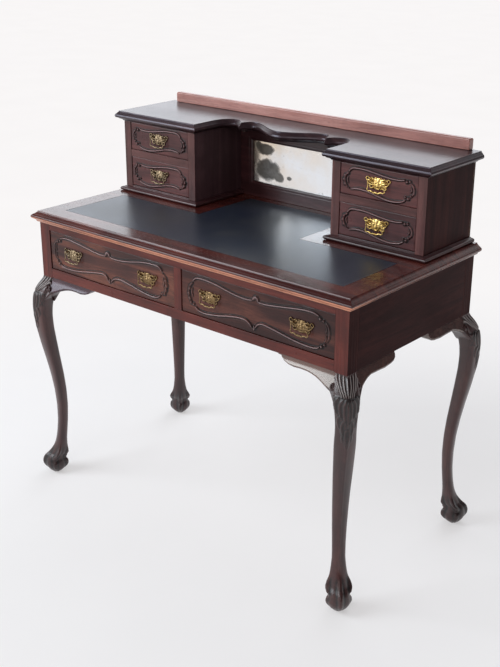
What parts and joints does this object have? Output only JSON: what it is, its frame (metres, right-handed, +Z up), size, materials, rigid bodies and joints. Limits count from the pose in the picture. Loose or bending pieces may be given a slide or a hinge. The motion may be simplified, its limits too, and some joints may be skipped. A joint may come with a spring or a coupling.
{
  "type": "writing desk",
  "caption": "Mahogany lady's writing desk: leather-lined top, cabriole legs on claw-and-ball feet, frieze drawers, and an upper stage of small drawers, mirror and bowed shelf.",
  "frame": {"origin": "on the floor, in the middle of the carcass's plan", "axes": "+Z up, +X to the sitter's right, -Y out of the front, where the frieze drawers open"},
  "size_m": [1.0484, 0.5584, 1.0045],
  "materials": {
    "mahogany": "french polished red-brown mahogany, worn satin gloss",
    "dark_mahogany": "french polished dark red-brown mahogany, gloss",
    "drawer_lining": "plain unpolished drawer lining wood",
    "leather": "near-black hide writing surface, low sheen",
    "brass": "cast brass, old lacquer, darkened in the hollows",
    "mirror_glass": "old silvering with blooms and dark spots"
  },
  "bodies": {
    "desk": {"back_panel": "dark_mahogany", "block_base_left": "mahogany", "block_base_right": "mahogany", "block_divider_left": "mahogany", "block_divider_right": "mahogany", "block_side_left_inner": "dark_mahogany", "block_side_left_outer": "dark_mahogany", "block_side_right_inner": "dark_mahogany", "block_side_right_outer": "dark_mahogany", "bracket_back_left_side": "dark_mahogany", "bracket_back_right_side": "dark_mahogany", "bracket_front_left_front": "dark_mahogany", "bracket_front_left_side": "dark_mahogany", "bracket_front_right_front": "dark_mahogany", "bracket_front_right_side": "dark_mahogany", "desk_top": "mahogany", "drawer_runner_frame": "drawer_lining", "gallery": "mahogany", "leather_inset": "leather", "leg_back_left": "dark_mahogany", "leg_back_right": "dark_mahogany", "leg_front_left": "dark_mahogany", "leg_front_right": "dark_mahogany", "mirror_frame": "dark_mahogany", "mirror_glass": "mirror_glass", "rail_bottom_front": "mahogany", "rail_top_front": "mahogany", "shelf": "dark_mahogany", "side_panel_left": "dark_mahogany", "side_panel_right": "dark_mahogany", "stage_back_board": "dark_mahogany", "stile_centre_front": "mahogany"},
    "drawer_frieze_left": {"drawer_front_frieze_left": "mahogany", "drawer_box_frieze_left": "drawer_lining", "handle_plate_frieze_left_left": "brass", "handle_plate_frieze_left_right": "brass"},
    "drawer_frieze_right": {"drawer_front_frieze_right": "mahogany", "drawer_box_frieze_right": "drawer_lining", "handle_plate_frieze_right_left": "brass", "handle_plate_frieze_right_right": "brass"},
    "drawer_block_left_upper": {"drawer_front_block_left_upper": "mahogany", "drawer_box_block_left_upper": "drawer_lining", "handle_plate_block_left_upper": "brass"},
    "drawer_block_left_lower": {"drawer_front_block_left_lower": "mahogany", "drawer_box_block_left_lower": "drawer_lining", "handle_plate_block_left_lower": "brass"},
    "drawer_block_right_upper": {"drawer_front_block_right_upper": "mahogany", "drawer_box_block_right_upper": "drawer_lining", "handle_plate_block_right_upper": "brass"},
    "drawer_block_right_lower": {"drawer_front_block_right_lower": "mahogany", "drawer_box_block_right_lower": "drawer_lining", "handle_plate_block_right_lower": "brass"},
    "bail_body_frieze_left_left": {"bail_frieze_left_left": "brass"},
    "bail_body_frieze_left_right": {"bail_frieze_left_right": "brass"},
    "bail_body_frieze_right_left": {"bail_frieze_right_left": "brass"},
    "bail_body_frieze_right_right": {"bail_frieze_right_right": "brass"},
    "bail_body_block_left_upper": {"bail_block_left_upper": "brass"},
    "bail_body_block_left_lower": {"bail_block_left_lower": "brass"},
    "bail_body_block_right_upper": {"bail_block_right_upper": "brass"},
    "bail_body_block_right_lower": {"bail_block_right_lower": "brass"}
  },
  "joints": [
    {"name": "slide_frieze_left", "type": "slide", "parent": "desk", "child": "drawer_frieze_left", "axis": [0, -1, 0], "range_m": [0, 0.33]},
    {"name": "slide_frieze_right", "type": "slide", "parent": "desk", "child": "drawer_frieze_right", "axis": [0, -1, 0], "range_m": [0, 0.33]},
    {"name": "slide_block_left_upper", "type": "slide", "parent": "desk", "child": "drawer_block_left_upper", "axis": [0, -1, 0], "range_m": [0, 0.12]},
    {"name": "slide_block_left_lower", "type": "slide", "parent": "desk", "child": "drawer_block_left_lower", "axis": [0, -1, 0], "range_m": [0, 0.12]},
    {"name": "slide_block_right_upper", "type": "slide", "parent": "desk", "child": "drawer_block_right_upper", "axis": [0, -1, 0], "range_m": [0, 0.12]},
    {"name": "slide_block_right_lower", "type": "slide", "parent": "desk", "child": "drawer_block_right_lower", "axis": [0, -1, 0], "range_m": [0, 0.12]},
    {"name": "swing_frieze_left_left", "type": "hinge", "parent": "drawer_frieze_left", "child": "bail_body_frieze_left_left", "pos_m": [-0.3695, -0.2567, 0.672], "axis": [-1, 0, 0], "range_deg": [0, 150]},
    {"name": "swing_frieze_left_right", "type": "hinge", "parent": "drawer_frieze_left", "child": "bail_body_frieze_left_right", "pos_m": [-0.1015, -0.2567, 0.672], "axis": [-1, 0, 0], "range_deg": [0, 150]},
    {"name": "swing_frieze_right_left", "type": "hinge", "parent": "drawer_frieze_right", "child": "bail_body_frieze_right_left", "pos_m": [0.1015, -0.2567, 0.672], "axis": [-1, 0, 0], "range_deg": [0, 150]},
    {"name": "swing_frieze_right_right", "type": "hinge", "parent": "drawer_frieze_right", "child": "bail_body_frieze_right_right", "pos_m": [0.3695, -0.2567, 0.672], "axis": [-1, 0, 0], "range_deg": [0, 150]},
    {"name": "swing_block_left_upper", "type": "hinge", "parent": "drawer_block_left_upper", "child": "bail_body_block_left_upper", "pos_m": [-0.3498, 0.0383, 0.92395], "axis": [-1, 0, 0], "range_deg": [0, 150]},
    {"name": "swing_block_left_lower", "type": "hinge", "parent": "drawer_block_left_lower", "child": "bail_body_block_left_lower", "pos_m": [-0.3498, 0.0383, 0.8276], "axis": [-1, 0, 0], "range_deg": [0, 150]},
    {"name": "swing_block_right_upper", "type": "hinge", "parent": "drawer_block_right_upper", "child": "bail_body_block_right_upper", "pos_m": [0.3498, 0.0383, 0.92395], "axis": [-1, 0, 0], "range_deg": [0, 150]},
    {"name": "swing_block_right_lower", "type": "hinge", "parent": "drawer_block_right_lower", "child": "bail_body_block_right_lower", "pos_m": [0.3498, 0.0383, 0.8276], "axis": [-1, 0, 0], "range_deg": [0, 150]}
  ]
}
